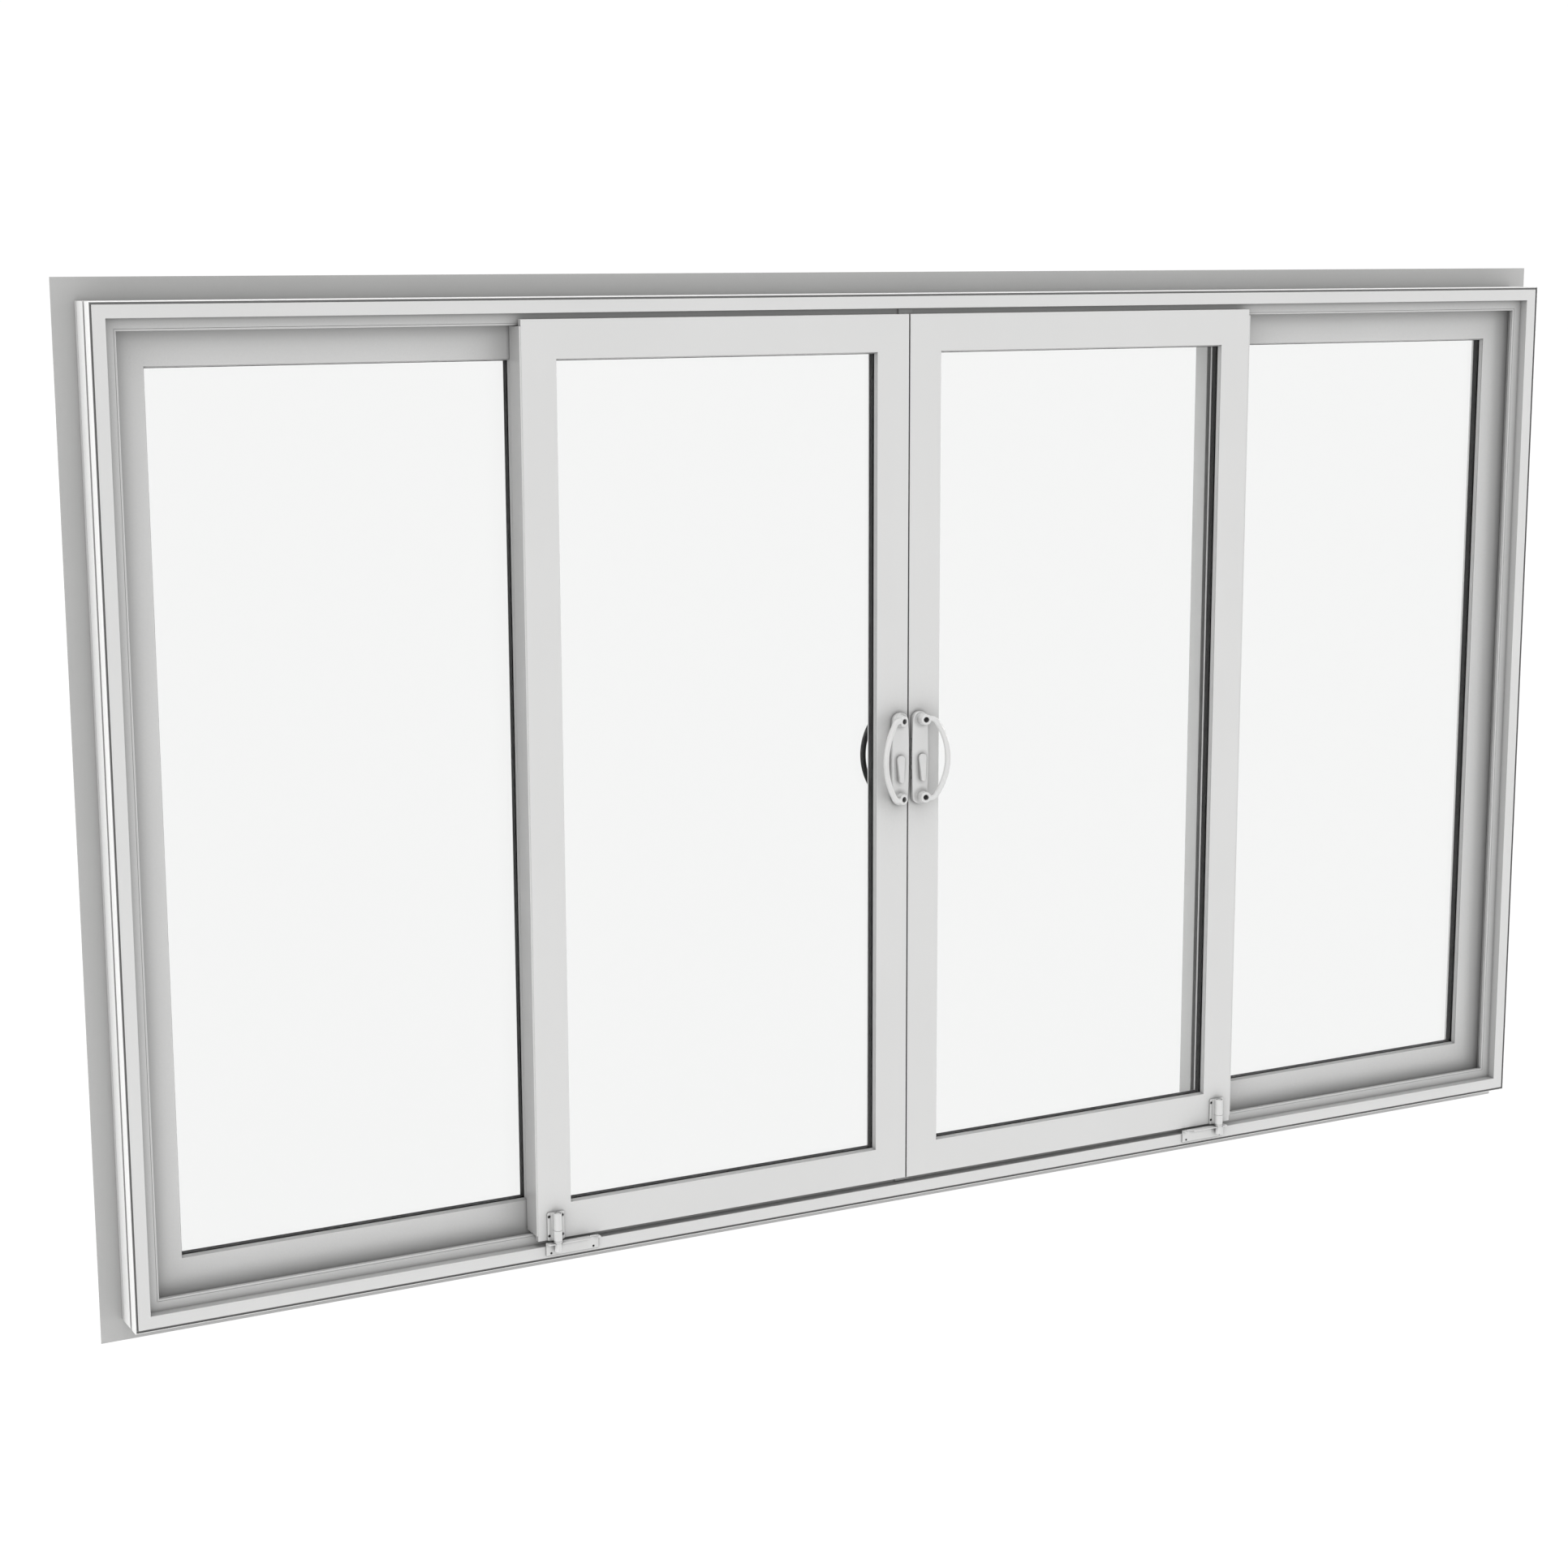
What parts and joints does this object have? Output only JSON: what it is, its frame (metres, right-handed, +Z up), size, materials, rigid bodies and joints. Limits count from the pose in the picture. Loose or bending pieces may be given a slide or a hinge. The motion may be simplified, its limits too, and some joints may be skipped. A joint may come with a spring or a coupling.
{
  "type": "glass sliding patio door",
  "caption": "White framed sliding patio door: glass panels fixed at the ends, sliding glass panels that part in the middle, nail fin all round.",
  "frame": {"origin": "middle of the sill fin's mounting face, which looks into the room", "axes": "+X to the right seen from the room, +Y outdoors, +Z up"},
  "size_m": [3.75, 0.1829, 2.178],
  "materials": {
    "frame_white": "smooth white extruded vinyl",
    "nail_fin": "thin white vinyl sheet",
    "glass": "clear float glass",
    "spacer": "dark warm-edge spacer and sealant",
    "interlock": "smooth white strip",
    "handle": "white powder coat, satin",
    "outdoor_handle": "black powder coat, satin",
    "foot_bolt": "white paint, satin",
    "roller": "dark nylon"
  },
  "bodies": {
    "frame": {"centre_stops": "frame_white", "foot_bolt_strikes": "foot_bolt", "head": "frame_white", "head_fin": "nail_fin", "jamb_fins": "nail_fin", "left_fixed_beads": "frame_white", "left_fixed_bottom_rail": "frame_white", "left_fixed_glass": "glass", "left_fixed_interlock": "interlock", "left_fixed_interlock_stile": "frame_white", "left_fixed_jamb_stile": "frame_white", "left_fixed_spacer": "spacer", "left_fixed_top_rail": "frame_white", "left_jamb": "frame_white", "right_fixed_beads": "frame_white", "right_fixed_bottom_rail": "frame_white", "right_fixed_glass": "glass", "right_fixed_interlock": "interlock", "right_fixed_interlock_stile": "frame_white", "right_fixed_jamb_stile": "frame_white", "right_fixed_spacer": "spacer", "right_fixed_top_rail": "frame_white", "right_jamb": "frame_white", "sill": "frame_white", "sill_fin": "nail_fin"},
    "left_slider": {"left_foot_bolt_body": "foot_bolt", "left_indoor_handle": "handle", "left_outdoor_handle": "outdoor_handle", "left_rollers": "roller", "left_slider_beads": "frame_white", "left_slider_bottom_rail": "frame_white", "left_slider_glass": "glass", "left_slider_interlock": "interlock", "left_slider_meeting_stile": "frame_white", "left_slider_outer_stile": "frame_white", "left_slider_spacer": "spacer", "left_slider_top_rail": "frame_white"},
    "right_slider": {"right_foot_bolt_body": "foot_bolt", "right_indoor_handle": "handle", "right_outdoor_handle": "outdoor_handle", "right_rollers": "roller", "right_slider_beads": "frame_white", "right_slider_bottom_rail": "frame_white", "right_slider_glass": "glass", "right_slider_interlock": "interlock", "right_slider_meeting_stile": "frame_white", "right_slider_outer_stile": "frame_white", "right_slider_spacer": "spacer", "right_slider_top_rail": "frame_white"},
    "left_bolt": {"left_foot_bolt": "foot_bolt"},
    "right_bolt": {"right_foot_bolt": "foot_bolt"},
    "left_lever": {"left_thumb_lever": "handle"},
    "right_lever": {"right_thumb_lever": "handle"}
  },
  "joints": [
    {"name": "left_slider_slide", "type": "slide", "parent": "frame", "child": "left_slider", "axis": [-1, 0, 0], "range_m": [0, 0.77]},
    {"name": "right_slider_slide", "type": "slide", "parent": "frame", "child": "right_slider", "axis": [1, 0, 0], "range_m": [0, 0.77]},
    {"name": "left_bolt_lift", "type": "slide", "parent": "left_slider", "child": "left_bolt", "axis": [0, 0, 1], "range_m": [0, 0.028]},
    {"name": "right_bolt_lift", "type": "slide", "parent": "right_slider", "child": "right_bolt", "axis": [0, 0, 1], "range_m": [0, 0.028]},
    {"name": "left_lever_turn", "type": "hinge", "parent": "left_slider", "child": "left_lever", "pos_m": [-0.0285, -0.1145, 1.0665], "axis": [0, 1, 0], "range_deg": [0, 90]},
    {"name": "right_lever_turn", "type": "hinge", "parent": "right_slider", "child": "right_lever", "pos_m": [0.0285, -0.1145, 1.0665], "axis": [0, -1, 0], "range_deg": [0, 90]}
  ]
}
